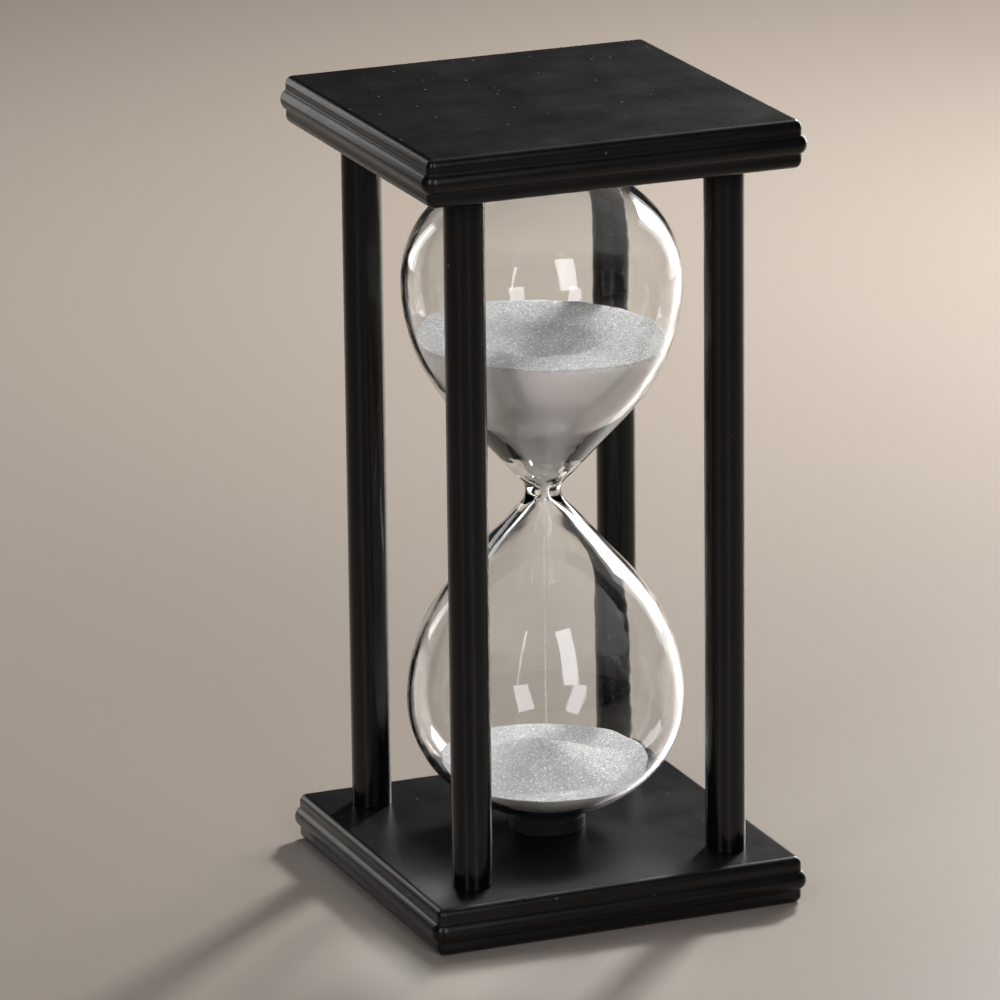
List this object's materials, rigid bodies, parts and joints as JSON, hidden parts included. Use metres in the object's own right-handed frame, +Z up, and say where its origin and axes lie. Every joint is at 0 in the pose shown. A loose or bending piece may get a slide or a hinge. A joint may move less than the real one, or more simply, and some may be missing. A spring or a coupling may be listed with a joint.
{
  "type": "hourglass",
  "caption": "Hourglass with a blown glass vial of white sand held between two square moulded plates by round posts",
  "frame": {"origin": "on the axis of the vial, at the underside of the base plate where the timer stands", "axes": "+Z runs up the axis of the vial; X and Y run along the sides of the square plates"},
  "size_m": [0.1, 0.1, 0.2],
  "materials": {
    "frame_paint": "black satin stain and lacquer on a moulded board",
    "post_paint": "smooth semi-gloss black lacquer on a turned dowel",
    "glass": "clear blown glass, polished",
    "stopper": "matt black rubber plug",
    "seat": "matt black moulded ring",
    "pad": "soft black foam rubber",
    "sand": "fine white sand with glittering grains",
    "stream": "thin stream of falling white sand"
  },
  "bodies": {
    "root": {"base_plate": "frame_paint", "top_plate": "frame_paint", "post_front_left": "post_paint", "post_front_right": "post_paint", "post_back_left": "post_paint", "post_back_right": "post_paint", "glass_vial": "glass", "filling_stopper": "stopper", "lower_seat": "seat", "upper_seat": "seat", "lower_pad": "pad", "upper_pad": "pad", "upper_sand": "sand", "lower_sand": "sand", "falling_sand": "stream"}
  },
  "joints": []
}
